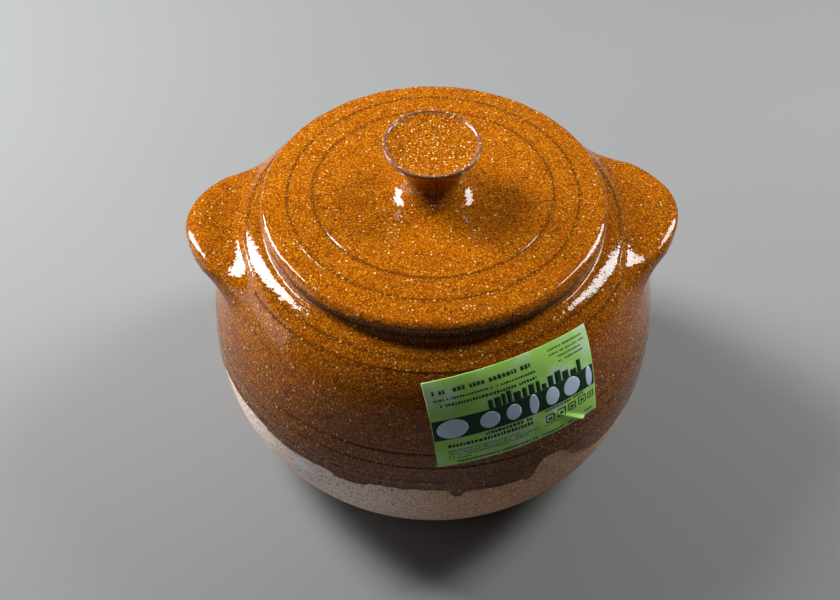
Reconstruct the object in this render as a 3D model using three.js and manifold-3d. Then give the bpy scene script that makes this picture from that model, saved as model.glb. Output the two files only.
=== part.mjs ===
// A lidded earthenware stew pot: a thrown, bellied bowl with two ledge handles luted to its shoulder,
// a flat domed lid with a locating ring underneath and a flared knob on top, and a paper label.
// Millimetres, +Z up. The origin is the centre of the base, and the handles lie along X.
import * as THREE from "three";
import { mergeVertices } from "three/addons/utils/BufferGeometryUtils.js";
import Module from "manifold-3d";

const wasm = await Module();
wasm.setup();

// ---- Driving dimensions
const BELLY_RADIUS = 134.2; // widest part of the bowl
const BELLY_HEIGHT = 81; // height of that widest part
const BASE_RADIUS = 86; // flat foot that the pot stands on
const SHOULDER_RADIUS = 99.2; // where the shoulder curve would level out
const SHOULDER_HEIGHT = 165.2;
const RIM_HEIGHT = 168; // top of the rim, where the lid rests
const RIM_OUTER = 98.5; // hidden under the lid's edge
const MOUTH_RADIUS = 92;
const WALL = 8;
const FLOOR = 9;

const LID_RADIUS = 100;
const LID_DOME_HEIGHT = 184.2; // top of the plate at its middle
const LID_FALL = 5.8; // how far the plate has fallen at LID_RADIUS, most of it near the edge
const LID_EDGE_ROUND = 5; // radius of the rolled edge
const LID_EDGE_ANGLES = [79, -12]; // degrees; the roll leaves the plate's slope and turns just under the edge
const LID_THICKNESS = 8.5;
const RING_OUTER = 90.5; // locating ring, a loose fit in the mouth
const RING_INNER = 83.5;
const RING_DEPTH = 9.7;
const GAP = 0.3; // between pieces that touch
const WIPED = 2; // how far a wet sponge has taken back each sharp corner

const BOSS_RADIUS = 21; // raised middle of the lid, where the knob stands
const BOSS_FOOT = 46; // where the boss has run out into the plate
const BOSS_HEIGHT = LID_DOME_HEIGHT + 2.8;
const KNOB_RADIUS = 27.7;
const KNOB_NECK = 14.8;
const KNOB_NECK_RISE = 9.5; // from the knob's foot up to its neck
const KNOB_FOOT_ANGLE = -97; // degrees; starts the flare at its foot, short of a feather edge
const KNOB_HEIGHT = 218.4;
const KNOB_LIP_ROUND = 1.6;
const KNOB_LIP_WIDTH = 2.5;
const KNOB_DISH_DEPTH = 5.2;

const HANDLE_TIP = 145.2; // reach of each handle from the pot's axis
const HANDLE_ROOT = 105; // where its outline begins to narrow
const HANDLE_INSIDE = 97; // the loft starts inside the wall and is cut back to it
const HANDLE_HALF_WIDTH = 55;
const HANDLE_SIDES = 28; // points round its section
const HANDLE_STATIONS = 10; // sections along it, closer together towards the tip
const HANDLE_ROOT_THICKNESS = 26;
const HANDLE_TIP_THICKNESS = 14;
const HANDLE_ROOT_MID = 144; // height of the middle of its thickness, at the root and at the tip
const HANDLE_TIP_MID = 154.6;
const HANDLE_SETBACK = { right: 8, left: 5 }; // luted on by hand, a little behind the middle line

const LABEL_WIDTH = 98;
const LABEL_HEIGHT = 57;
const LABEL_THICKNESS = 0.25;
const LABEL_CENTRE_HEIGHT = 134.8;
const LABEL_DIRECTION = 19.2; // degrees from the front, -Y, towards +X
const LABEL_TILT = 3.2; // degrees, right side up

const TURNS = 72; // facets round the bowl and the lid
const KNOB_TURNS = 48;

// Incised lines: height on the bowl, or radius on the lid
const SHOULDER_LINES = [163.2, 157.6];
const BELLY_LINES = [111, 100, 88];
const LID_LINES = [68.9, 83.4];
const BOWL_LINE = { width: 1.8, depth: 0.5 };
const LID_LINE = { width: 2.4, depth: 0.9 };

// ---- Helpers
const point = (r, z) => new THREE.Vector2(r, z);
const degrees = THREE.MathUtils.degToRad;

// Points on an ellipse about (r, z), from one angle to another in degrees, both ends included.
function ellipse(r, z, a, b, from, to, steps) {
  return Array.from({ length: steps + 1 }, (_, i) => {
    const t = degrees(from + ((to - from) * i) / steps);
    return point(r + a * Math.cos(t), z + b * Math.sin(t));
  });
}

const toNumbers = (points) => points.flatMap((p) => [p.x, p.y, p.z]);

function lathe(profile, turns) {
  return new THREE.LatheGeometry(profile, turns).rotateX(Math.PI / 2);
}

function solidOf(geometry) {
  const bare = geometry.clone();
  bare.deleteAttribute("normal");
  bare.deleteAttribute("uv");
  const merged = mergeVertices(bare, 1e-3);
  const vertProperties = merged.getAttribute("position").array;
  return new wasm.Manifold(
    new wasm.Mesh({ numProp: 3, vertProperties, triVerts: new Uint32Array(merged.index.array) }),
  );
}

function geometryOf(solid) {
  const { vertProperties, triVerts } = solid.getMesh();
  const geometry = new THREE.BufferGeometry();
  geometry.setAttribute("position", new THREE.BufferAttribute(vertProperties, 3));
  geometry.setIndex(new THREE.BufferAttribute(triVerts, 1));
  geometry.computeVertexNormals();
  return geometry;
}

// A closed body through rings of points, each with the same number of them, capped at both ends.
function loft(rings) {
  const count = rings[0].length;
  const positions = toNumbers(rings.flat());
  const index = [];
  for (let i = 0; i + 1 < rings.length; i++) {
    for (let j = 0; j < count; j++) {
      const a = i * count + j;
      const b = i * count + ((j + 1) % count);
      index.push(a, b, a + count, b, b + count, a + count);
    }
  }
  const last = (rings.length - 1) * count;
  for (let j = 1; j + 1 < count; j++) {
    index.push(0, j + 1, j);
    index.push(last, last + j, last + j + 1);
  }
  const geometry = new THREE.BufferGeometry();
  geometry.setAttribute("position", new THREE.Float32BufferAttribute(positions, 3));
  geometry.setIndex(index);
  geometry.computeVertexNormals();
  return geometry;
}

// ---- Bowl: outside curves, shared with the handles and the label
const lowerHalf = { r: BASE_RADIUS, a: BELLY_RADIUS - BASE_RADIUS, b: BELLY_HEIGHT };
const upperHalf = { r: SHOULDER_RADIUS, a: BELLY_RADIUS - SHOULDER_RADIUS, b: SHOULDER_HEIGHT - BELLY_HEIGHT };

// The bowl's outside at a height: its radius, and the outward normal's two parts.
function bowlAt(z) {
  const half = z < BELLY_HEIGHT ? lowerHalf : upperHalf;
  const sine = (z - BELLY_HEIGHT) / half.b;
  const cosine = Math.sqrt(Math.max(0, 1 - sine * sine));
  const normal = point(cosine / half.a, sine / half.b).normalize();
  return { r: half.r + half.a * cosine, z, normal };
}

// Three points that cut a shallow V into the bowl at a height.
function bowlLine(z) {
  const { normal } = bowlAt(z);
  const rise = (BOWL_LINE.width / 2) * normal.x;
  const [below, middle, above] = [z - rise, z, z + rise].map(bowlAt);
  return [
    point(below.r, below.z),
    point(middle.r - BOWL_LINE.depth * normal.x, z - BOWL_LINE.depth * normal.y),
    point(above.r, above.z),
  ];
}

function bowlOutside() {
  const heightsBetweenLines = [94, 105.5, 120, 129, 138, 147, 164.8];
  const rising = [
    ...heightsBetweenLines.map((z) => [point(bowlAt(z).r, z)]),
    ...BELLY_LINES.map(bowlLine),
    ...SHOULDER_LINES.map(bowlLine),
  ].sort((p, q) => p[0].y - q[0].y);
  return [
    ...ellipse(lowerHalf.r, BELLY_HEIGHT, lowerHalf.a, lowerHalf.b, -90, 0, 9),
    ...rising.flat(),
  ];
}

function bowlGeometry() {
  const rim = [
    ...ellipse(RIM_OUTER - WIPED, RIM_HEIGHT - WIPED, WIPED, WIPED, 0, 90, 2),
    ...ellipse(MOUTH_RADIUS + WIPED, RIM_HEIGHT - WIPED, WIPED, WIPED, 90, 180, 2),
    point(MOUTH_RADIUS, RIM_HEIGHT - WALL),
  ];
  const innerBelly = BELLY_RADIUS - WALL;
  const innerRise = RIM_HEIGHT - BELLY_HEIGHT - WALL - WIPED;
  const innerFall = BELLY_HEIGHT - FLOOR;
  const floorRadius = BASE_RADIUS - WALL + WIPED;
  const insideUpper = ellipse(MOUTH_RADIUS, BELLY_HEIGHT, innerBelly - MOUTH_RADIUS, innerRise, 84, 6, 7);
  const insideLower = ellipse(floorRadius, BELLY_HEIGHT, innerBelly - floorRadius, innerFall, 0, -90, 8);
  const profile = [point(0, 0), ...bowlOutside(), ...rim, ...insideUpper, ...insideLower, point(0, FLOOR)];
  return lathe(profile, TURNS);
}

// The bowl's outside filled in and a little larger, for cutting what sits against it.
function bowlCutter() {
  const outside = bowlOutside().map((p) => {
    const { normal } = bowlAt(p.y);
    return point(p.x + GAP * normal.x, p.y + GAP * normal.y);
  });
  const top = RIM_HEIGHT + GAP;
  return solidOf(
    lathe([point(0, -GAP), ...outside, point(RIM_OUTER + WIPED, top), point(0, top)], TURNS),
  );
}

// ---- Handles: a half-moon ledge, thick at the wall and rounded at the tip
function handleRing(x) {
  const s = (x - HANDLE_ROOT) / (HANDLE_TIP - HANDLE_ROOT);
  const outward = Math.max(0, s);
  const halfWidth = HANDLE_HALF_WIDTH * (1 - outward ** 1.5) ** 0.58;
  const thickness = THREE.MathUtils.lerp(HANDLE_ROOT_THICKNESS, HANDLE_TIP_THICKNESS, outward);
  const halfThickness = (thickness / 2) * Math.sqrt(1 - outward ** 6);
  const middle = THREE.MathUtils.lerp(HANDLE_ROOT_MID, HANDLE_TIP_MID, outward ** 1.2);
  const squareness = 2 / 3; // exponent of the rounded-rectangle section
  return Array.from({ length: HANDLE_SIDES }, (_, j) => {
    const t = (2 * Math.PI * j) / HANDLE_SIDES;
    const across = Math.sign(Math.cos(t)) * Math.abs(Math.cos(t)) ** squareness;
    const upward = Math.sign(Math.sin(t)) * Math.abs(Math.sin(t)) ** squareness;
    return new THREE.Vector3(x, halfWidth * across, middle + halfThickness * upward);
  });
}

function handleGeometry(turn, setback) {
  const reach = HANDLE_TIP - HANDLE_ROOT;
  const stations = [HANDLE_INSIDE];
  for (let i = 0; i < HANDLE_STATIONS; i++) {
    const remaining = 1 - i / (HANDLE_STATIONS - 0.8);
    stations.push(HANDLE_ROOT + reach * (1 - remaining ** 2.2));
  }
  const ledge = solidOf(loft(stations.map(handleRing))).rotate([0, 0, turn]).translate([0, setback, 0]);
  return geometryOf(ledge.subtract(bowlCutter()));
}

// ---- Lid
const SEAT = RIM_HEIGHT + GAP;
const lidTop = (r) => LID_DOME_HEIGHT - LID_FALL * (r / LID_RADIUS) ** 4;
const lidUnderside = (r) => lidTop(r) - LID_THICKNESS;

function lidLine(r) {
  return [
    point(r - LID_LINE.width / 2, lidTop(r - LID_LINE.width / 2)),
    point(r, lidTop(r) - LID_LINE.depth),
    point(r + LID_LINE.width / 2, lidTop(r + LID_LINE.width / 2)),
  ];
}

function lidGeometry() {
  const bossFoot = new THREE.QuadraticBezierCurve(
    point(BOSS_RADIUS, BOSS_HEIGHT),
    point((BOSS_RADIUS + BOSS_FOOT) / 2, lidTop(BOSS_RADIUS)),
    point(BOSS_FOOT, lidTop(BOSS_FOOT)),
  );
  const top = [
    point(0, BOSS_HEIGHT),
    ...bossFoot.getPoints(4),
    point((BOSS_FOOT + LID_LINES[0]) / 2, lidTop((BOSS_FOOT + LID_LINES[0]) / 2)),
    ...LID_LINES.flatMap(lidLine),
  ];
  const edgeCentre = LID_RADIUS - LID_EDGE_ROUND;
  const edgeHeight = lidTop(edgeCentre) - LID_EDGE_ROUND;
  const edge = ellipse(edgeCentre, edgeHeight, LID_EDGE_ROUND, LID_EDGE_ROUND, ...LID_EDGE_ANGLES, 6);
  const ringFoot = SEAT - RING_DEPTH;
  const underneath = [
    point(LID_RADIUS - WIPED / 2, SEAT + WIPED),
    point(LID_RADIUS - 2 * WIPED, SEAT),
    point(RING_OUTER, SEAT),
    point(RING_OUTER - WIPED / 2, ringFoot + WIPED),
    point(RING_OUTER - WIPED, ringFoot),
    point(RING_INNER + WIPED, ringFoot),
    point(RING_INNER, ringFoot + WIPED),
    point(RING_INNER - WIPED / 2, lidUnderside(RING_INNER) - 2 * WIPED),
    point(RING_INNER - 3 * WIPED, lidUnderside(RING_INNER - 3 * WIPED)),
    point(RING_INNER / 2, lidUnderside(RING_INNER / 2)),
    point(0, lidUnderside(0)),
  ];
  return lathe([...top, ...edge, ...underneath].reverse(), TURNS);
}

// ---- Knob: thrown like a small goblet, dished on top
function knobGeometry() {
  const foot = BOSS_HEIGHT + GAP;
  const neckHeight = foot + KNOB_NECK_RISE;
  const flareWidth = BOSS_RADIUS - KNOB_NECK;
  const flare = ellipse(BOSS_RADIUS, neckHeight, flareWidth, KNOB_NECK_RISE, KNOB_FOOT_ANGLE, -180, 5);
  const lipRadius = KNOB_RADIUS - KNOB_LIP_ROUND;
  const lipHeight = KNOB_HEIGHT - KNOB_LIP_ROUND;
  const lip = ellipse(lipRadius, lipHeight, KNOB_LIP_ROUND, KNOB_LIP_ROUND, -20, 90, 3);
  const cup = new THREE.QuadraticBezierCurve(
    point(KNOB_NECK, neckHeight),
    point(KNOB_NECK + 0.8, (neckHeight + lipHeight) / 2),
    lip[0],
  ).getPoints(8);
  const dish = ellipse(0, KNOB_HEIGHT, KNOB_RADIUS - KNOB_LIP_WIDTH, KNOB_DISH_DEPTH, -12, -89, 4);
  const middle = point(0, KNOB_HEIGHT - KNOB_DISH_DEPTH);
  const profile = [point(0, foot), ...flare, ...cup.slice(1), ...lip.slice(1), ...dish.slice(0, -1), middle];
  return lathe(profile, KNOB_TURNS);
}

// ---- Label: a paper rectangle laid on the bowl as on a cone, so that its long edges bow down at their ends
const LABEL_CONE = 300; // distance from the label's middle to the tip of the cone that fits the wall there

// The bowl's outside, a distance up the wall from the label's middle.
function upTheWall(distance) {
  const steps = 24;
  let z = LABEL_CENTRE_HEIGHT;
  for (let i = 0; i < steps; i++) {
    z += (distance / steps) * bowlAt(z).normal.x;
  }
  return bowlAt(z);
}

function labelPoint(across, up, lift) {
  const flat = new THREE.Vector2(across, up).rotateAround(new THREE.Vector2(), degrees(LABEL_TILT));
  const fromTip = Math.hypot(flat.x, LABEL_CONE - flat.y);
  const round = Math.atan2(flat.x, LABEL_CONE - flat.y);
  const wall = upTheWall(LABEL_CONE - fromTip);
  const turn = degrees(LABEL_DIRECTION) + (round * fromTip) / wall.r;
  const r = wall.r + lift * wall.normal.x;
  return new THREE.Vector3(r * Math.sin(turn), -r * Math.cos(turn), wall.z + lift * wall.normal.y);
}

function labelGeometry() {
  const columns = 14;
  const rows = 8;
  const columnAt = (i) => {
    const across = LABEL_WIDTH * (i / columns - 0.5);
    const heights = Array.from({ length: rows + 1 }, (_, j) => LABEL_HEIGHT * (j / rows - 0.5));
    const back = heights.map((up) => labelPoint(across, up, GAP));
    const front = heights.map((up) => labelPoint(across, up, GAP + LABEL_THICKNESS));
    return [...back, ...front];
  };
  const positions = Array.from({ length: columns + 1 }, (_, i) => columnAt(i)).flatMap(toNumbers);
  const index = [];
  const layer = rows + 1;
  const at = (i, j, side) => i * 2 * layer + side * layer + j;
  const quad = (a, b, c, d) => index.push(a, b, c, a, c, d);
  for (let i = 0; i < columns; i++) {
    for (let j = 0; j < rows; j++) {
      quad(at(i, j, 1), at(i + 1, j, 1), at(i + 1, j + 1, 1), at(i, j + 1, 1));
      quad(at(i, j, 0), at(i, j + 1, 0), at(i + 1, j + 1, 0), at(i + 1, j, 0));
    }
    quad(at(i, 0, 0), at(i + 1, 0, 0), at(i + 1, 0, 1), at(i, 0, 1));
    quad(at(i, rows, 1), at(i + 1, rows, 1), at(i + 1, rows, 0), at(i, rows, 0));
  }
  for (let j = 0; j < rows; j++) {
    quad(at(0, j, 0), at(0, j, 1), at(0, j + 1, 1), at(0, j + 1, 0));
    quad(at(columns, j, 1), at(columns, j, 0), at(columns, j + 1, 0), at(columns, j + 1, 1));
  }
  const geometry = new THREE.BufferGeometry();
  geometry.setAttribute("position", new THREE.Float32BufferAttribute(positions, 3));
  geometry.setIndex(index);
  geometry.computeVertexNormals();
  return geometry;
}

// ---- Assembly
const glaze = new THREE.MeshStandardMaterial({ color: 0x9a5410, roughness: 0.18, metalness: 0 });
const paper = new THREE.MeshStandardMaterial({ color: 0x8fbf4d, roughness: 0.6, metalness: 0 });

function part(name, geometry, material) {
  const mesh = new THREE.Mesh(geometry, material);
  mesh.name = name;
  return mesh;
}

const lid = new THREE.Group();
lid.add(part("lid_plate", lidGeometry(), glaze), part("lid_knob", knobGeometry(), glaze));

const pot = new THREE.Group();
pot.add(
  part("bowl", bowlGeometry(), glaze),
  part("right_handle", handleGeometry(0, HANDLE_SETBACK.right), glaze),
  part("left_handle", handleGeometry(180, HANDLE_SETBACK.left), glaze),
  part("label", labelGeometry(), paper),
);

const assembly = new THREE.Group();
assembly.add(pot, lid);
export default assembly;
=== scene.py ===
"""The finished look of a lidded earthenware stew pot: raw clay below, honey glaze above, a paper label."""

import math
import random

import bmesh
import bpy
import numpy as np
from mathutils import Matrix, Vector, noise


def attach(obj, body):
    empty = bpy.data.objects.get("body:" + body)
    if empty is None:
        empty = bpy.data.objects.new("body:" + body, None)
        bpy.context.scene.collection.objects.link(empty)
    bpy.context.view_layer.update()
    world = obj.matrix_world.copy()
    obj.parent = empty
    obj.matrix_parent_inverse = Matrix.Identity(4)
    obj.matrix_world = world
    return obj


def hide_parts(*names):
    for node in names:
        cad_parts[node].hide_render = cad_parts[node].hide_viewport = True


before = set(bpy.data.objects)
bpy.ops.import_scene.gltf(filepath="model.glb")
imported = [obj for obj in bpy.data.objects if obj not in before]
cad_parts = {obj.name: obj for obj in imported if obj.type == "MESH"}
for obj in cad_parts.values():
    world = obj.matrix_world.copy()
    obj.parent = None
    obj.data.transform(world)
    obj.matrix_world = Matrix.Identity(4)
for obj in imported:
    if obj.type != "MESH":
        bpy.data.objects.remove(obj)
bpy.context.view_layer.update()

MM = 0.001

# ---- Driving dimensions, in millimetres; the same pot as the frame's
BELLY_RADIUS, BELLY_HEIGHT = 134.2, 81.0
BASE_RADIUS = 86.0
SHOULDER_RADIUS, SHOULDER_HEIGHT = 99.2, 165.2
RIM_HEIGHT, MOUTH_RADIUS = 168.0, 92.0
WALL, FLOOR = 8.0, 9.0
GLAZE = 0.45  # thickness of the glaze coat over the clay
BURIED = -1.5  # where the back of the glaze coat lies, inside the clay

LID_RADIUS, LID_TOP, LID_DROP = 100.0, 184.2, 5.8
LID_SEAT = 168.3
EDGE_ROUND = 5.0

KNOB_LEAN = -1.4  # the knob's rim sits a little off centre, towards -X

EAR_ROOT, EAR_TIP = 105.0, 145.2
EAR_HALF_WIDTH = 55.0
EAR_THICKNESS = (26.0, 14.0)  # at the root, and at the tip
EAR_MIDDLE = (144.0, 154.6)  # height of its middle, at the root and at the tip
EAR_SETBACK = {"right": 8.0, "left": 5.0}

LABEL_WIDTH, LABEL_HEIGHT = 98.0, 57.0
LABEL_CENTRE, LABEL_DIRECTION, LABEL_TILT = 134.8, 19.2, 3.2
LABEL_CONE = 300.0  # distance from the label's middle to the tip of the cone that it is laid on

SHOULDER_LINES = (163.2, 157.6)
BELLY_LINES = (111.0, 100.0, 88.0)
LID_LINES = (68.9, 83.4)

GLAZE_LEVEL = 79.0  # how high the bare clay reaches, where the glaze neither ran nor drew back
# Runs of glaze: degrees from the front towards +X, half the width in degrees, and how far each hangs down.
# Where the last number is negative the glaze has drawn back upwards.
GLAZE_RUNS = (
    (-160, 14, -4), (-135, 12, 2), (-110, 12, -3), (-59, 13, -5.5), (-23, 5, 4.5), (3.5, 1.6, 7),
    (14, 9, 4), (22, 1.6, 5), (28, 5.5, -10), (46, 6, 4), (56, 22, 8.5), (130, 14, 5),
)


# ---- Small tools
def lumps(points, size, seed=0.0):
    """Smooth noise from -1 to 1 at each point, with lumps of about that size."""
    flat = points.reshape(-1, 3) / size + seed
    values = [noise.noise(Vector(p)) for p in flat]
    return np.array(values).reshape(points.shape[:-1])


def curve_through(points, count):
    """A smooth line of that many points through a few given ones, spaced evenly between them."""
    p = np.array(points, float)
    p = np.vstack([2 * p[0] - p[1], p, 2 * p[-1] - p[-2]])
    t = np.linspace(0, len(p) - 3, count)
    i = np.minimum(t.astype(int), len(p) - 4)
    f = (t - i)[:, None]
    a, b, c, d = p[i], p[i + 1], p[i + 2], p[i + 3]
    return 0.5 * (2 * b + (c - a) * f + (2 * a - 5 * b + 4 * c - d) * f**2 + (3 * b - a - 3 * c + d) * f**3)


def arc(r, z, a, b, start, end, count):
    """Points on an ellipse about (r, z), between two angles in degrees."""
    t = np.radians(np.linspace(start, end, count))
    return np.column_stack([r + a * np.cos(t), z + b * np.sin(t)])


def turn(r, z, azimuth):
    """The point at a radius and height, at an angle from the front, -Y, towards +X."""
    return np.stack([r * np.sin(azimuth), -r * np.cos(azimuth), z + 0 * azimuth], axis=-1)


def angles(count):
    return np.linspace(-math.pi, math.pi, count, endpoint=False)


def line_depth(position, lines, width, depth):
    """How deep a surface is cut by incised lines, with a low lip of pushed-up clay on each side."""
    total = np.zeros_like(position)
    for line in lines:
        x = (position - line) / width
        total += depth * (np.exp(-(x**2) * 4) - 0.25 * np.exp(-((np.abs(x) - 1.1) ** 2) * 6))
    return total


def grid_faces(rows, columns, round_columns, first=0):
    """Four-cornered faces between the points of a grid, numbered row by row."""
    across = columns if round_columns else columns - 1
    i, j = np.meshgrid(np.arange(rows - 1), np.arange(across), indexing="ij")
    after = (j + 1) % columns
    corners = (i * columns + j, i * columns + after, (i + 1) * columns + after, (i + 1) * columns + j)
    return (np.stack(corners, axis=-1).reshape(-1, 4) + first).tolist()


def new_piece(name, points, faces):
    mesh = bpy.data.meshes.new(name)
    mesh.from_pydata((np.array(points) * MM).tolist(), [], faces)
    mesh.polygons.foreach_set("use_smooth", [True] * len(mesh.polygons))
    piece = bpy.data.objects.new(name, mesh)
    bpy.context.collection.objects.link(piece)
    return piece


def turned(name, grid, start, end, marks=None):
    """A closed mesh through rings of points in millimetres, with a single point closing each end.
    marks are per-point numbers that the materials read, laid out as the grid is."""
    rows, columns = grid.shape[:2]
    points = [*grid.reshape(-1, 3)]
    faces = grid_faces(rows, columns, True)
    for pole, row in ((start, 0), (end, rows - 1)):
        points.append(np.array(pole, float))
        ring = [row * columns + j for j in range(columns)]
        faces += [(len(points) - 1, b, a) for a, b in zip(ring, ring[1:] + ring[:1])]
    piece = new_piece(name, points, faces)
    for mark, values in (marks or {}).items():
        flat = np.concatenate([values.reshape(-1), [values[0].mean(), values[-1].mean()]])
        piece.data.attributes.new(mark, "FLOAT", "POINT").data.foreach_set("value", flat.astype(np.float32))
    shape = bmesh.new()
    shape.from_mesh(piece.data)
    bmesh.ops.recalc_face_normals(shape, faces=shape.faces)
    shape.to_mesh(piece.data)
    shape.free()
    return piece


def fit_out(piece, body, material, slot, *nodes):
    """Gives a piece its body and material, and hides the CAD nodes that it stands for; slot is not used."""
    piece.data.materials.append(material)
    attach(piece, body)
    if nodes:
        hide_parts(*nodes)
    return piece


# ---- The bowl's outside: what everything on it is laid against
def bowl_half(z):
    lower = z < BELLY_HEIGHT
    centre = np.where(lower, BASE_RADIUS, SHOULDER_RADIUS)
    width = BELLY_RADIUS - centre
    height = np.where(lower, BELLY_HEIGHT, SHOULDER_HEIGHT - BELLY_HEIGHT)
    sine = np.clip((z - BELLY_HEIGHT) / height, -1, 1)
    cosine = np.sqrt(1 - sine**2)
    return centre, width, height, sine, cosine


def bowl_normal(z):
    """Outward and upward parts of the normal."""
    _, width, height, sine, cosine = bowl_half(z)
    out, up = cosine / width, sine / height
    length = np.hypot(out, up)
    return out / length, up / length


def wander(azimuth, z):
    """What the potter's hands left: the wall swells and shrinks by a few tenths."""
    swell = 0.21 * np.sin(2 * azimuth + 0.6 + z / 60) + 0.15 * np.sin(3 * azimuth - z / 35)
    return swell * np.clip(z / 25, 0, 1) * np.clip((SHOULDER_HEIGHT - z) / 12, 0, 1)


def throwing_rings(azimuth, z):
    """Faint rings left by the fingertips as the wall was drawn up."""
    rings = 0.07 * np.sin(z * 1.35 + 0.8 * np.sin(azimuth)) + 0.05 * np.sin(z * 2.3 + 1.1 + np.cos(azimuth))
    return rings * np.clip(z / 25, 0, 1) * np.clip((SHOULDER_HEIGHT - z) / 12, 0, 1)


def bowl_radius(azimuth, z):
    centre, width, _, _, cosine = bowl_half(z)
    cut = line_depth(z, SHOULDER_LINES, 0.8, 0.35) + line_depth(z, BELLY_LINES, 1.5, 0.4)
    return centre + width * cosine + wander(azimuth, z) + throwing_rings(azimuth, z) - cut


def on_bowl(azimuth, z, lift):
    out, up = bowl_normal(z)
    return turn(bowl_radius(azimuth, z) + lift * out, z + lift * up, azimuth)


def rim_profile(lift):
    """From the top of the shoulder over the rim and down the inside to the floor, pushed out by lift."""
    inner_belly = BELLY_RADIUS - WALL
    inner_rise = RIM_HEIGHT - BELLY_HEIGHT - WALL - 2
    floor_radius = BASE_RADIUS - WALL + 2
    collar = curve_through(
        [(104.2, 164.2), (102.2, 164.8), (100.2, 165.1), (98.9, 165.5), (98.1, 166.4), (97.2, 167.3),
         (95.8, 167.6), (93.8, 167.3), (92.5, 166.2), (92, 164.3), (92, 161)], 22)
    upper = arc(MOUTH_RADIUS, BELLY_HEIGHT, inner_belly - MOUTH_RADIUS, inner_rise, 84, 3, 15)
    lower = arc(floor_radius, BELLY_HEIGHT, inner_belly - floor_radius, BELLY_HEIGHT - FLOOR, 0, -90, 16)
    floor = np.array([(60, FLOOR), (30, FLOOR), (6, FLOOR)])
    line = np.vstack([collar, upper, lower, floor])
    along = np.gradient(line, axis=0)
    normal = np.column_stack([along[:, 1], -along[:, 0]])
    normal /= np.linalg.norm(normal, axis=1)[:, None]
    return line + normal * lift


def glaze_edge(azimuth):
    """Height of the glaze's lower edge, with the small teeth of a coat that has crawled and run."""
    smooth = np.full_like(azimuth, GLAZE_LEVEL)
    for middle, half_width, hang in GLAZE_RUNS:
        away = (np.degrees(azimuth) - middle + 180) % 360 - 180
        smooth -= hang * np.exp(-((away / half_width) ** 4))
    ring = turn(np.full_like(azimuth, BELLY_RADIUS), 0 * azimuth, azimuth)
    return smooth + 0.9 * lumps(ring, 5.0) + 0.5 * lumps(ring, 1.7, 9) + 0.25 * lumps(ring, 0.8, 21)


def clay_body():
    azimuth = angles(360)
    below_belly = BELLY_HEIGHT * (1 - np.cos(np.linspace(0.02, math.pi / 2, 34)))
    above_belly = np.linspace(BELLY_HEIGHT + 1, SHOULDER_HEIGHT - 1.6, 60)
    heights = np.concatenate([below_belly, above_belly])
    outside = on_bowl(azimuth[None, :], heights[:, None], 0.0)
    line = rim_profile(0.0)
    inside = turn(line[:, :1], line[:, 1:], azimuth[None, :])
    flat = np.zeros_like(azimuth)
    foot = [turn(flat + r, flat, azimuth)[None] for r in (30.0, 60.0, 80.0, BASE_RADIUS)]
    grid = np.concatenate([*foot, outside, inside])
    return turned("clay_body", grid, (0, 0, 0), (0, 0, FLOOR))


def glaze_coat():
    """A thin closed shell over the belly, shoulder and rim and down the inside, its back in the clay."""
    azimuth = angles(600)
    edge = glaze_edge(azimuth)
    ring = turn(np.full_like(azimuth, BELLY_RADIUS), edge, azimuth)
    bead = 0.75 + 0.2 * lumps(ring, 9.0, 4)
    # distance above the edge, and thickness as a share of the bead
    lip = ((0, -0.5), (-0.12, 0.15), (0.02, 0.6), (0.35, 0.92), (0.9, 1.0), (1.8, 0.88))
    rows = [on_bowl(azimuth, edge + up, bead * share) for up, share in lip]
    settled = 96.0  # from here up the rows are level
    for share in np.linspace(0, 1, 17)[1:]:
        z = (edge + 1.8) * (1 - share) + settled * share
        rows.append(on_bowl(azimuth, z, GLAZE + (0.88 * bead - GLAZE) * (1 - share) ** 3))
    steps = (-1.3, -0.8, -0.3, 0.2, 0.7, 1.2)
    near_lines = [line + step for line in (*SHOULDER_LINES, *BELLY_LINES) for step in steps]
    heights = np.unique(np.round([*np.arange(settled + 1.4, 163.3, 2.0), *near_lines], 2))
    heights = heights[(heights > settled + 0.5) & (heights < 163.6)]
    rows += [on_bowl(azimuth, np.full_like(azimuth, z), GLAZE) for z in heights]
    line = rim_profile(GLAZE)
    rows += list(turn(line[:, :1], line[:, 1:], azimuth[None, :]))
    back_line = rim_profile(BURIED)[::-4]
    back = list(turn(back_line[:, :1], back_line[:, 1:], azimuth[None, :]))
    back += [on_bowl(azimuth, np.full_like(azimuth, z), BURIED) for z in np.linspace(160, 98, 8)]
    grid = np.array(back + rows)
    z = grid[..., 2]
    outer = np.arange(len(grid)) >= len(back)
    pooled = np.zeros(grid.shape[:2])
    for line_height in SHOULDER_LINES:
        pooled += 0.8 * np.exp(-(((z - line_height + 0.3) / 0.6) ** 2))
    for line_height in BELLY_LINES:
        pooled += 0.7 * np.exp(-(((z - line_height) / 1.0) ** 2))
    low = np.exp(-(np.maximum(0, z - edge[None, :]) / 2.2))
    pooled = np.clip(pooled + low, 0, 1) * outer[:, None]
    thinned = np.exp(-(((z - 167.6) / 0.7) ** 2))
    marks = {"pool_and_painted_shade": pooled, "thin": thinned}
    return turned("glaze_coat", grid, (0, 0, FLOOR + BURIED), (0, 0, FLOOR + GLAZE), marks)


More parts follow.
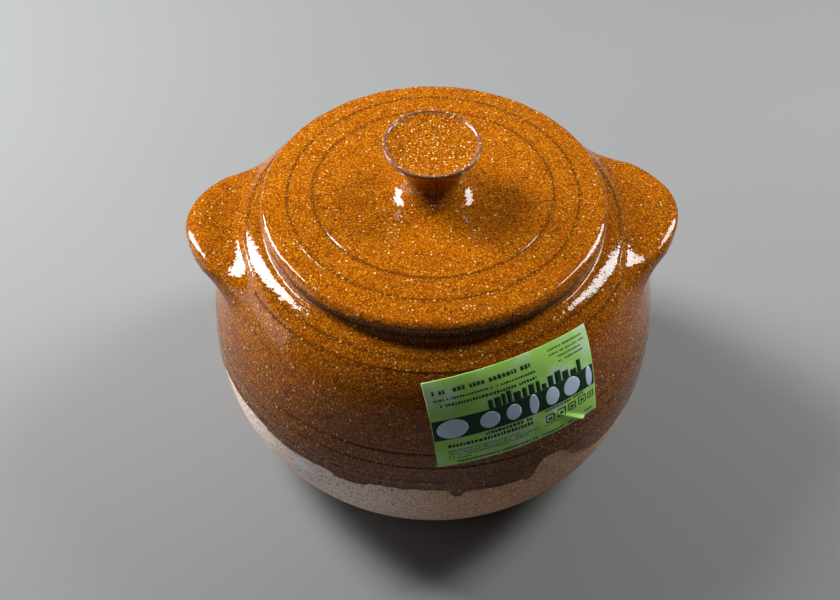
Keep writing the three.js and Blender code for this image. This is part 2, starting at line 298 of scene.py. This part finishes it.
# ---- Handles: ledges pulled from the wall, thick at the root, with the joint smoothed over by a thumb
def ear_section(x, t):
    """One section through a handle: across and up, for a distance from the pot's axis."""
    outward = np.clip((x - EAR_ROOT) / (EAR_TIP - EAR_ROOT), 0, 1)
    half_width = EAR_HALF_WIDTH * (1 - outward**1.5) ** 0.58
    half_thickness = np.interp(outward, (0, 1), EAR_THICKNESS) / 2 * np.sqrt(1 - outward**6)
    middle = EAR_MIDDLE[0] + (EAR_MIDDLE[1] - EAR_MIDDLE[0]) * outward**1.2
    across = np.sign(np.cos(t)) * np.abs(np.cos(t)) ** (2 / 3)
    upward = np.sign(np.sin(t)) * np.abs(np.sin(t)) ** (2 / 3)
    saddle = 1.4 * np.clip(upward, 0, 1) * np.exp(-(((outward - 0.3) / 0.28) ** 2)) * (1 - across**2)
    return half_width * across, middle + half_thickness * upward - saddle


def wall_gap(points):
    """How far each point stands off the glazed wall, and the wall's normal there."""
    azimuth = np.arctan2(points[..., 0], -points[..., 1])
    z = np.clip(points[..., 2], 1, SHOULDER_HEIGHT - 1)
    out, up = bowl_normal(z)
    normal = np.stack([out * np.sin(azimuth), -out * np.cos(azimuth), up], axis=-1)
    centre, width, _, _, cosine = bowl_half(z)
    radius = np.hypot(points[..., 0], points[..., 1])
    gap = (radius - centre - width * cosine - wander(azimuth, z)) * out + (points[..., 2] - z) * up - GLAZE
    return gap, normal


def onto_wall(points, lift):
    for _ in range(4):
        gap, normal = wall_gap(points)
        points = points + (lift - gap)[..., None] * normal
    return points


def ear(name, side, mirrored, columns=144, rows=56):
    t = np.linspace(0, 2 * math.pi, columns, endpoint=False)
    t = t - 0.12 * np.sin(4 * t)  # more points where the section turns sharply
    share = np.linspace(0, 1, 90)
    stations = EAR_ROOT - 10 + (EAR_TIP - EAR_ROOT + 10) * (1 - (1 - share) ** 2.4)
    lines = np.empty((columns, len(stations), 3))
    for k, x in enumerate(stations):
        across, up = ear_section(x, t)
        lines[:, k] = np.column_stack([np.full(columns, x), across, up])
    if mirrored:
        lines[..., :2] *= -1
    lines[..., 1] += EAR_SETBACK[side]
    lines += 0.35 * lumps(lines, 22.0, 3)[..., None] * np.array([0.6, 0.6, 1.0])
    gaps, _ = wall_gap(lines)
    roots = np.array([first_at(line, gap, 0.0)[0] for line, gap in zip(lines, gaps)])
    roots = onto_wall(roots, 0.0)
    _, normals = wall_gap(roots)
    along = np.roll(roots, -1, axis=0) - np.roll(roots, 1, axis=0)
    away = np.cross(normals, along)
    away /= np.linalg.norm(away, axis=1)[:, None]
    centre = roots.mean(axis=0)
    if np.sum(away * (roots - centre)) < 0:
        away = -away
    reach = 9 + 5 * np.cos(t) ** 2 - 2.5 * np.clip(np.sin(t), 0, 1)
    feet = onto_wall(roots + away * reach[:, None], 0.02)
    skirts = onto_wall(roots + away * (reach + 2)[:, None], -0.35)
    buried = onto_wall(roots + away * (reach - 4)[:, None], -3.0)
    grid = np.empty((rows + 11, columns, 3))
    for j in range(columns):
        start, where = first_at(lines[j], gaps[j], reach[j])
        rest = np.vstack([start, lines[j][where:]])
        length = np.concatenate([[0], np.cumsum(np.linalg.norm(np.diff(rest, axis=0), axis=1))])
        at = length[-1] * np.sin(np.linspace(0, 1, rows, endpoint=False) * math.pi / 2)
        upper = np.column_stack([np.interp(at, length, rest[:, k]) for k in range(3)])
        f = np.linspace(0, 1, 10)[:, None]
        fillet = (1 - f) ** 2 * feet[j] + 2 * f * (1 - f) * roots[j] + f**2 * start
        grid[:, j] = np.vstack([buried[j], skirts[j], fillet, upper[1:]])
    return turned(name, grid, buried.mean(axis=0), lines[:, -1].mean(axis=0))


def first_at(line, gap, value):
    """Where a line coming out of the wall first stands that far off it, and the index of its next point."""
    k = int(np.argmax(gap > value))
    f = (value - gap[k - 1]) / (gap[k] - gap[k - 1])
    return line[k - 1] + f * (line[k] - line[k - 1]), k


# ---- Lid
def lid_height(r):
    return LID_TOP - LID_DROP * (r / LID_RADIUS) ** 4


def lid_plate():
    azimuth = angles(540)
    near_lines = [line + step for line in LID_LINES for step in np.arange(-2.4, 2.5, 0.4)]
    radii = np.unique(np.round([*np.arange(6, 94, 1.5), *near_lines], 2))
    radii = radii[radii < 94.4]
    roll = LID_RADIUS - EDGE_ROUND
    edge = arc(roll, lid_height(roll) - EDGE_ROUND, EDGE_ROUND, EDGE_ROUND, 78, -25, 18)
    under = curve_through(
        [(99.3, 171.4), (98.2, 169.4), (96.6, 168.4), (94, LID_SEAT), (91.4, LID_SEAT), (90.4, 166.6),
         (89.8, 161.5), (88.6, 159), (86.6, 158.5), (84.8, 159.2), (83.7, 161.4), (83, 167), (81.8, 170.6),
         (78, 172.9), (70, 174), (45, 175.2), (20, 175.6)], 56)
    line = np.vstack([np.column_stack([radii, lid_height(radii)]), edge, under])
    grid = turn(line[:, :1], line[:, 1:], azimuth[None, :])
    top = np.arange(len(line)) < len(radii)
    r = np.broadcast_to(line[:, :1], grid.shape[:2])
    off = 0.5 * np.sin(azimuth + 0.7)[None, :]  # the lines were cut a little off centre
    cut = line_depth(r + off, LID_LINES, 1.2, 0.2) * (0.7 + 0.6 * lumps(grid, 14.0, 6)) * top[:, None]
    fade = np.clip((104 - r) / 12, 0, 1) * (grid[..., 2] > 170)
    wave = 0.22 * lumps(grid, 38.0, 2) + 0.07 * np.sin(r * 1.9 + azimuth[None, :])
    grid[..., 2] += wave * fade - cut
    ragged = 0.35 * lumps(grid, 7.0, 12) * (~top[:, None]) * (grid[..., 2] > 170)
    grid[..., :2] *= 1 + ragged[..., None] / LID_RADIUS
    pooled = sum(np.exp(-((r + off - line_radius) ** 2)) for line_radius in LID_LINES) * top[:, None]
    # side: painted shade on the lid's side below the roll; its glaze is also thinner there
    side = np.clip((176.6 + 0.8 * lumps(grid, 6.0, 14) - grid[..., 2]) / 2.2, 0, 1) * (r > 97)
    marks = {"pool_and_painted_shade": np.clip(0.8 * pooled + side, 0, 1), "thin": 0.35 * side}
    return turned("lid_disc", grid, (0, 0, LID_TOP), (0, 0, 175.7), marks)


# ---- Knob: thrown like a small goblet on the lid, its foot wiped out into the lid's top
def knob():
    azimuth = angles(240)
    hem = [(36, lid_height(36) - 0.35), (34, lid_height(34) + 0.03)]
    foot = [*hem, (30, 184.75), (26, 185.7), (22.4, 187.4)]
    stem = [(19.2, 190), (17, 193.2), (16.2, 196.6), (17.2, 200), (19.8, 204), (22.8, 208), (25.4, 212)]
    lip = [(27.2, 215.3), (27.8, 217), (27.3, 218.1), (26.2, 218.2), (25, 217.4)]
    dish = [(21, 216.4), (15, 215.5), (8, 215.0), (2, 214.8)]
    line = curve_through([*foot, *stem, *lip, *dish], 120)
    grid = turn(line[:, :1], line[:, 1:], azimuth[None, :])
    z = grid[..., 2]
    lean = KNOB_LEAN * np.clip((z - 188) / 30, 0, 1)
    grid[..., 0] += lean
    rim = np.exp(-(((z - 217) / 6) ** 2))
    grid[..., :2] *= (1 + 0.012 * rim * np.sin(2 * azimuth + 0.8)[None, :])[..., None]
    grid[..., 2] += 0.3 * rim * np.sin(azimuth - 1.2)[None, :]
    grid += 0.12 * lumps(grid, 9.0, 5)[..., None] * np.clip((z - 185.5) / 4, 0, 1)[..., None]
    r = np.broadcast_to(line[:, :1], grid.shape[:2])
    thinned = np.exp(-(((z - 217.5) / 1.3) ** 2)) * (r > 24.8)
    marks = {"pool_and_painted_shade": np.zeros_like(r), "thin": np.clip(thinned, 0, 1)}
    return turned("knob", grid, (0, 0, 182.5), (KNOB_LEAN, 0, 214.8), marks)


# ---- Label
FOLD = ((19.6, -14.0), (37.5, -28.5))  # a pinch in the paper, on the label's own face
CREASE = ((-14.5, -16.5), (-14.0, -28.5))


def ridge(across, up, line, width, height):
    """A raised crease along a straight line on the label, growing from its first end to its second."""
    (x0, y0), (x1, y1) = line
    length = math.hypot(x1 - x0, y1 - y0)
    dx, dy = (x1 - x0) / length, (y1 - y0) / length
    along = (across - x0) * dx + (up - y0) * dy
    beside = (across - x0) * -dy + (up - y0) * dx
    grown = np.clip(along / length + 0.15, 0, 1)
    return height * grown * np.exp(-((beside / width) ** 2))


def on_label(across, up, lift):
    """A point on the label's face: the flat rectangle laid on the bowl as on a cone."""
    across, up = np.broadcast_arrays(np.asarray(across, float), np.asarray(up, float))
    raised = ridge(across, up, FOLD, 1.3, 1.5) + ridge(across, up, CREASE, 0.8, 0.5)
    raised = raised + 0.12 * np.sin(across / 9 + up / 7) ** 2
    tilt = math.radians(LABEL_TILT)
    x = across * math.cos(tilt) - up * math.sin(tilt)
    y = across * math.sin(tilt) + up * math.cos(tilt)
    from_tip = np.hypot(x, LABEL_CONE - y)
    round_tip = np.arctan2(x, LABEL_CONE - y)
    z = np.full_like(x, LABEL_CENTRE)
    steps = 24
    for _ in range(steps):
        z += (LABEL_CONE - from_tip) / steps * bowl_normal(z)[0]
    centre, width, _, _, cosine = bowl_half(z)
    wall = centre + width * cosine
    azimuth = math.radians(LABEL_DIRECTION) + round_tip * from_tip / wall
    out, rise = bowl_normal(z)
    stand = wander(azimuth, z) + GLAZE + 0.3 + raised + lift
    return turn(wall + stand * out, z + stand * rise, azimuth)


def label_sheet():
    columns, rows = 197, 115
    along = np.linspace(-LABEL_WIDTH / 2, LABEL_WIDTH / 2, columns)
    upward = np.linspace(-LABEL_HEIGHT / 2, LABEL_HEIGHT / 2, rows)
    across, up = np.meshgrid(along, upward)
    points = on_label(across, up, 0).reshape(-1, 3)
    sheet = new_piece("label_sheet", points, grid_faces(rows, columns, False))
    thicken(sheet, 0.15)
    return sheet


def thicken(piece, thickness):
    solidify = piece.modifiers.new("thickness", "SOLIDIFY")
    solidify.thickness = thickness * MM
    solidify.offset = -1


def block(left, bottom, width, height):
    """A printed rectangle as a grid of places on the label, fine enough to bend with it."""
    across = np.linspace(left, left + width, max(2, math.ceil(width)))
    up = np.linspace(bottom, bottom + height, max(2, math.ceil(height)))
    return np.meshgrid(across, up)


def pebble(across, up, width, height):
    """A printed oval: a square grid of places with its corners drawn in to a circle, then stretched."""
    u, v = np.meshgrid(np.linspace(-1, 1, 17), np.linspace(-1, 1, 17))
    x = u * np.sqrt(1 - v**2 / 2)
    y = v * np.sqrt(1 - u**2 / 2)
    return across + width / 2 * x, up + height / 2 * y


def printed(name, patches, lift):
    points, faces = [], []
    for across, up in patches:
        faces += grid_faces(*across.shape, False, len(points))
        points += [*on_label(across, up, lift).reshape(-1, 3)]
    piece = new_piece(name, points, faces)
    thicken(piece, 0.03)
    return piece


# left end, right end, height above the middle, height of a block, usual length of a block
SMALL_PRINT = (
    (-45, 10, 20.5, 2.6, 1.9), (-45, 12, 16.6, 1.3, 1.1), (-42, 12, 12.9, 1.7, 1.3),
    (22, 45, 24.3, 1.0, 0.9), (22, 46, 21.6, 1.0, 0.9), (27, 43, 19.0, 1.0, 0.9), (27, 44, 16.4, 1.0, 0.9),
    (-21, 8, -11.5, 2.2, 1.6), (-42, 6, -14.9, 2.4, 1.8), (-42, -2, -18.0, 0.9, 0.8),
    (-42, 9, -19.9, 0.9, 0.8), (-42, 3, -21.8, 0.9, 0.8), (-42, -30, -23.9, 0.9, 0.8),
    (-38, 8, -27.1, 1.6, 1.2), (11, 34, -27.1, 1.4, 1.1), (14, 40, -10.6, 1.6, 1.2),
    (13, 22, -20.6, 0.8, 0.9), (39, 46, -25.5, 1.4, 1.1),
)
SMALL_FRAMES = ((14, -18.9, 5.6), (21.5, -18.3, 5.6), (29, -17.8, 5.2), (36, -17.4, 5.6), (43, -17, 4.6))
# left end, width and height
OVALS = (
    (-38, 17, 12.4), (-17.5, 11, 10.5), (-4, 8.5, 10), (8, 5.5, 13), (19.5, 8.5, 11.5), (32.5, 11, 12),
    (45, 4.5, 13.5),
)


def lines_of_marks():
    """Rows of small plain blocks where a label has its small print: nothing that can be read."""
    dice = random.Random(7)
    patches = []
    for left, right, bottom, height, usual in SMALL_PRINT:
        x = left
        while x < right:
            if dice.random() < 0.10:
                x += usual
                continue
            width = usual * dice.uniform(0.55, 1.25)
            patches.append(block(x, bottom, min(width, right - x), height * dice.uniform(0.8, 1.0)))
            x += width + 0.35 + 0.12 * usual
    return patches


def small_frames():
    """A row of little open squares, like care symbols with nothing in them."""
    patches = []
    stroke = 0.7
    for left, bottom, size in SMALL_FRAMES:
        patches += [block(left, bottom + rise, size, stroke) for rise in (0, size - stroke)]
        patches += [block(left + shift, bottom, stroke, size) for shift in (0, size - stroke)]
        patches.append(block(left + 1.6, bottom + 1.6, size - 3.2, size * 0.3))
    return patches


def skyline():
    """Blocks of uneven height standing on the band."""
    dice = random.Random(3)
    patches = []
    x = -17.0
    while x < 40:
        width = dice.uniform(2.2, 4.6)
        patches.append(block(x, 4.8, width, dice.uniform(3.4, 7.6)))
        x += width + dice.uniform(0.5, 1.3)
    return patches


def label_pieces():
    band = block(-LABEL_WIDTH / 2 + 0.3, -8.6, LABEL_WIDTH - 0.6, 13.6)
    dark = printed("label_dark_print", [band, *skyline(), *lines_of_marks(), *small_frames()], 0.04)
    pale = printed("label_pale_print", [pebble(x, -1.8, width, height) for x, width, height in OVALS], 0.08)
    return label_sheet(), dark, pale


# ---- Materials
class Nodes:
    """A material's node tree, with short ways to add to it. Numbers and sockets can be passed alike."""

    def __init__(self, name):
        self.material = bpy.data.materials.new(name)
        self.material.use_nodes = True
        self.tree = self.material.node_tree
        self.shader = self.tree.nodes["Principled BSDF"]
        self.place = self.add("TexCoord").outputs["Object"]

    def add(self, kind, settings=None, **inputs):
        node = self.tree.nodes.new("ShaderNode" + kind)
        for name, value in (settings or {}).items():
            setattr(node, name, value)
        for name, value in inputs.items():
            self.feed(node.inputs[name], value)
        return node

    def feed(self, socket, value):
        if isinstance(value, bpy.types.NodeSocket):
            self.tree.links.new(value, socket)
        else:
            socket.default_value = value

    def maths(self, operation, *values, clamp=False):
        node = self.add("Math", {"operation": operation, "use_clamp": clamp})
        for socket, value in zip(node.inputs, values):
            self.feed(socket, value)
        return node.outputs[0]

    def noise(self, scale, detail=3.0, roughness=0.5, distortion=0.0):
        settings = {"Scale": scale, "Detail": detail, "Roughness": roughness, "Distortion": distortion}
        return self.add("TexNoise", Vector=self.place, **settings).outputs["Fac"]

    def stretch(self, value, low, high):
        """0 where value is at low or beyond, 1 where it is at high or beyond; low may be the greater."""
        node = self.add("MapRange", {"clamp": True, "interpolation_type": "SMOOTHSTEP"}, Value=value)
        node.inputs["From Min"].default_value = low
        node.inputs["From Max"].default_value = high
        return node.outputs["Result"]

    def mix(self, share, first, second):
        node = self.add("Mix", {"data_type": "RGBA"})
        self.feed(node.inputs["Factor"], share)
        for socket, value in ((node.inputs[6], first), (node.inputs[7], second)):
            self.feed(socket, (*value, 1.0) if isinstance(value, tuple) else value)
        return node.outputs[2]

    def flecks(self, scale, size, share):
        """1 inside small scattered spots: about share of the cells of a Voronoi pattern hold one."""
        cells = self.add("TexVoronoi", {"feature": "F1"}, Vector=self.place, Scale=scale)
        chosen = self.maths("LESS_THAN", self.separate(cells.outputs["Color"], "Red"), share)
        radius = self.maths("MULTIPLY", self.separate(cells.outputs["Color"], "Green"), size)
        inside = self.maths("SUBTRACT", radius, cells.outputs["Distance"])
        return self.maths("MULTIPLY", chosen, self.stretch(inside, -0.04, 0.08))

    def separate(self, colour, channel):
        return self.add("SeparateColor", Color=colour).outputs[channel]

    def mark(self, name):
        return self.add("Attribute", {"attribute_name": name}).outputs["Fac"]

    def height(self):
        return self.add("SeparateXYZ", Vector=self.place).outputs["Z"]

    def distance_to(self, point):
        node = self.add("VectorMath", {"operation": "DISTANCE"})
        self.feed(node.inputs[0], self.place)
        self.feed(node.inputs[1], point)
        return node.outputs["Value"]

    def bump(self, height, strength, distance, under=None):
        node = self.add("Bump", Height=height, Strength=strength, Distance=distance)
        if under is not None:
            self.feed(node.inputs["Normal"], under)
        return node.outputs["Normal"]

    def finish(self, colour, roughness, normal, **settings):
        self.feed(self.shader.inputs["Base Color"], colour)
        self.feed(self.shader.inputs["Roughness"], roughness)
        self.feed(self.shader.inputs["Normal"], normal)
        for name, value in settings.items():
            self.shader.inputs[name.replace("_", " ")].default_value = value
        return self.material


AMBER, ORANGE = (0.235, 0.048, 0.001), (0.360, 0.100, 0.0012)
BROWN, UMBER = (0.10, 0.020, 0.001), (0.020, 0.006, 0.002)
RUSSET = (0.045, 0.009, 0.001)
STRAW, CREAM = (0.60, 0.29, 0.02), (0.72, 0.52, 0.22)
BARE_EDGE = (0.17, 0.075, 0.05)


def honey_glaze():
    """Amber over a sandy clay: the grog shows through as straw and cream flecks, iron as dark ones."""
    n = Nodes("honey_glaze")
    drift = n.noise(22.0, 4.0, 0.6)
    cloud = n.noise(160.0, 4.0, 0.6, 0.4)
    sand = n.noise(1050.0, 2.0, 0.5)
    grain = n.noise(640.0, 3.0, 0.6)
    high = n.stretch(n.height(), 0.060, 0.188)
    low = n.maths("SUBTRACT", 1.0, high)
    colour = n.mix(n.stretch(grain, 0.35, 0.65), AMBER, ORANGE)
    shade = n.maths("MULTIPLY", n.stretch(cloud, 0.42, 0.72), 0.38)
    shade = n.maths("ADD", shade, n.maths("MULTIPLY", n.stretch(sand, 0.55, 0.36), 0.50))
    # painted shade, in part: the glaze turns browner towards the bottom, partly as thicker glaze lying low
    # down
    shade = n.maths("ADD", shade, n.maths("MULTIPLY", low, 0.55), clamp=True)
    colour = n.mix(shade, colour, BROWN)
    # darker still low down, in patches: partly painted shade, partly thicker glaze
    deep = n.maths("MULTIPLY", low, n.stretch(drift, 0.25, 0.75), clamp=True)
    colour = n.mix(n.maths("MULTIPLY", deep, 0.28), colour, UMBER)
    # pooled glaze in the incised lines and at the glaze's lower edge; painted shade on the lid's side
    colour = n.mix(n.maths("MULTIPLY", n.mark("pool_and_painted_shade"), 0.85), colour, n.mix(high, UMBER, RUSSET))
    colour = n.mix(n.maths("MULTIPLY", n.mark("thin"), n.stretch(grain, 0.3, 0.6)), colour, BARE_EDGE)
    straw = n.maths("MULTIPLY", n.stretch(sand, 0.56, 0.68), 0.65)
    colour = n.mix(straw, colour, STRAW)
    summit = n.stretch(n.height(), 0.2085, 0.2120)  # the knob's dish is the sandiest place
    cream = n.maths("MULTIPLY", n.flecks(520.0, 0.34, 0.26), 0.75)
    sandy = n.maths("MULTIPLY", summit, n.flecks(640.0, 0.42, 0.45))
    cream = n.maths("MAXIMUM", cream, n.maths("MULTIPLY", sandy, 0.85))
    colour = n.mix(cream, colour, CREAM)
    iron = n.maths("MULTIPLY", summit, n.flecks(580.0, 0.42, 0.35))
    dark = n.maths("MAXIMUM", n.flecks(430.0, 0.42, 0.22), iron)
    colour = n.mix(n.maths("MULTIPLY", dark, 0.55), colour, UMBER)
    roughness = n.maths("ADD", 0.03, n.maths("MULTIPLY", n.stretch(grain, 0.45, 0.8), 0.06))
    pimples = n.maths("ADD", n.noise(300.0, 2.0, 0.5), n.maths("MULTIPLY", n.flecks(560.0, 0.40, 0.30), 1.6))
    normal = n.bump(n.noise(90.0, 2.0), 0.5, 0.0003)
    normal = n.bump(pimples, 0.8, 0.00022, normal)
    return n.finish(colour, roughness, normal, IOR=1.34)


TERRACOTTA, DUSTY, DARK_SPECK_AND_PIT_SHADE = (0.74, 0.335, 0.165), (0.80, 0.47, 0.28), (0.28, 0.12, 0.06)
PALE_GRIT, PAINTED_LIGHT_CLAY, LIME = (0.92, 0.74, 0.60), (0.95, 0.77, 0.70), (0.84, 0.87, 0.95)
LIME_PLACE = (-0.080, -0.107, 0.068)  # a smear of lime on the bare clay, left of the front


def raw_clay():
    """Gritty bare clay with pale grog, painted shade in its pits, painted light round a lime smear at front
    left.
    """
    n = Nodes("raw_clay")
    drift = n.noise(28.0, 4.0, 0.6)
    sand = n.noise(820.0, 2.0, 0.6)
    grit = n.noise(700.0, 1.5, 0.6, 0.5)
    colour = n.mix(n.stretch(drift, 0.3, 0.7), TERRACOTTA, DUSTY)
    from_lime = n.distance_to(LIME_PLACE)
    # painted light: the clay paler towards the front left, around the lime
    colour = n.mix(n.maths("MULTIPLY", n.stretch(from_lime, 0.105, 0.035), 1.0), colour, PAINTED_LIGHT_CLAY)
    colour = n.mix(n.maths("MULTIPLY", n.stretch(sand, 0.50, 0.36), 0.75), colour, DARK_SPECK_AND_PIT_SHADE)
    colour = n.mix(n.maths("MULTIPLY", n.stretch(grit, 0.54, 0.64), 0.9), colour, PALE_GRIT)
    # painted shade: the pits are darkened; the same dark colour also gives the clay its dark specks
    pits = n.flecks(420.0, 0.42, 0.30)
    colour = n.mix(n.maths("MULTIPLY", pits, 0.7), colour, DARK_SPECK_AND_PIT_SHADE)
    ragged = n.maths("ADD", from_lime, n.maths("MULTIPLY", n.noise(240.0, 3.0, 0.6), 0.016))
    colour = n.mix(n.maths("MULTIPLY", n.stretch(ragged, 0.0165, 0.0125), 0.85), colour, LIME)
    relief = n.maths("SUBTRACT", sand, n.maths("MULTIPLY", pits, 0.6))
    return n.finish(colour, 0.9, n.bump(relief, 1.0, 0.0016), IOR=1.4)


def paper(name, first, second, roughness):
    """Printed paper: two close tones in soft patches, with the fibre of the sheet."""
    n = Nodes(name)
    patch = n.stretch(n.noise(55.0, 3.0, 0.5), 0.42, 0.72)
    colour = n.mix(patch, first, second)
    fibre = n.noise(1500.0, 3.0, 0.6)
    colour = n.mix(n.maths("MULTIPLY", fibre, 0.12), colour, (0.1, 0.12, 0.05))
    return n.finish(colour, roughness, n.bump(fibre, 0.25, 0.00008), IOR=1.3)


# ---- The object
glaze = honey_glaze()
fit_out(clay_body(), "pot", raw_clay(), "raw_clay", "bowl")
fit_out(glaze_coat(), "pot", glaze, "honey_glaze", "bowl")
fit_out(ear("right_ear", "right", False), "pot", glaze, "honey_glaze", "right_handle")
fit_out(ear("left_ear", "left", True), "pot", glaze, "honey_glaze", "left_handle")
fit_out(lid_plate(), "lid", glaze, "honey_glaze", "lid_plate")
fit_out(knob(), "lid", glaze, "honey_glaze", "lid_knob")
LABEL_PAPERS = (
    paper("green_paper", (0.38, 0.72, 0.12), (0.58, 0.82, 0.50), 0.5),
    paper("dark_ink", (0.001, 0.030, 0.010), (0.002, 0.038, 0.014), 0.6),
    paper("pale_ink", (0.60, 0.72, 0.90), (0.68, 0.78, 0.92), 0.5),
)
for piece, material in zip(label_pieces(), LABEL_PAPERS):
    fit_out(piece, "pot", material, "label_paper", "label")


# ---- Studio
def floor():
    bpy.ops.mesh.primitive_plane_add(size=14)
    plane = bpy.context.object
    plane.name = "floor"
    n = Nodes("floor")
    colour = n.mix(n.noise(3.0, 3.0), (0.172, 0.171, 0.168), (0.190, 0.189, 0.186))
    plane.data.materials.append(n.finish(colour, 0.9, n.bump(n.noise(60.0), 0.05, 0.001)))


DAYLIGHT, SOFT_DAYLIGHT = (0.95, 0.98, 1.0), (0.97, 0.98, 1.0)
LAMP_DISTANCE = 1.25  # metres from the middle of the pot
LAMP_AIM = Vector((0, 0, 0.13))


def softbox(name, azimuth, elevation, width, height, brightness, colour):
    """A rectangular lamp aimed at the pot. Azimuth is from the front, -Y, towards +X, in degrees."""
    lamp = bpy.data.lights.new(name, "AREA")
    lamp.shape = "RECTANGLE"
    lamp.size, lamp.size_y = width, height
    lamp.energy, lamp.color = brightness * math.pi * width * height, colour
    holder = bpy.data.objects.new(name, lamp)
    bpy.context.collection.objects.link(holder)
    a, e = math.radians(azimuth), math.radians(elevation)
    away = Vector((math.sin(a) * math.cos(e), -math.cos(a) * math.cos(e), math.sin(e)))
    holder.location = LAMP_AIM + away * LAMP_DISTANCE
    holder.visible_camera = False
    holder.rotation_mode = "QUATERNION"
    holder.rotation_quaternion = (-away).to_track_quat("-Z", "Y")


def sky():
    """Grey at the horizon and dim overhead, so that the glaze keeps its depth."""
    world = bpy.data.worlds.new("studio")
    world.use_nodes = True
    bpy.context.scene.world = world
    tree = world.node_tree
    direction = tree.nodes.new("ShaderNodeTexCoord").outputs["Generated"]
    parts = tree.nodes.new("ShaderNodeSeparateXYZ")
    tree.links.new(direction, parts.inputs[0])
    ramp = tree.nodes.new("ShaderNodeValToRGB")
    horizon, overhead = ramp.color_ramp.elements
    horizon.position, horizon.color = 0.0, (0.085, 0.087, 0.092, 1)
    overhead.position, overhead.color = 0.35, (0.05, 0.051, 0.055, 1)
    tree.links.new(parts.outputs["Z"], ramp.inputs["Fac"])
    tree.links.new(ramp.outputs["Color"], tree.nodes["Background"].inputs["Color"])
    tree.nodes["Background"].inputs["Strength"].default_value = 1.0


def camera():
    lens = bpy.data.cameras.new("camera")
    lens.lens = 53.1
    holder = bpy.data.objects.new("camera", lens)
    holder.location = (-0.0259, -0.5148, 0.6690)
    holder.rotation_euler = (math.radians(41.57), 0, math.radians(-2))
    bpy.context.collection.objects.link(holder)
    bpy.context.scene.camera = holder


floor()
softbox("left_window", -120, 38, 0.36, 0.85, 40.0, DAYLIGHT)
softbox("left_fill", -96, 8, 1.1, 0.55, 2.2, SOFT_DAYLIGHT)
softbox("right_window", 113, 37, 0.30, 0.85, 25.0, DAYLIGHT)
sky()
camera()
bpy.context.scene.view_settings.view_transform = "Standard"
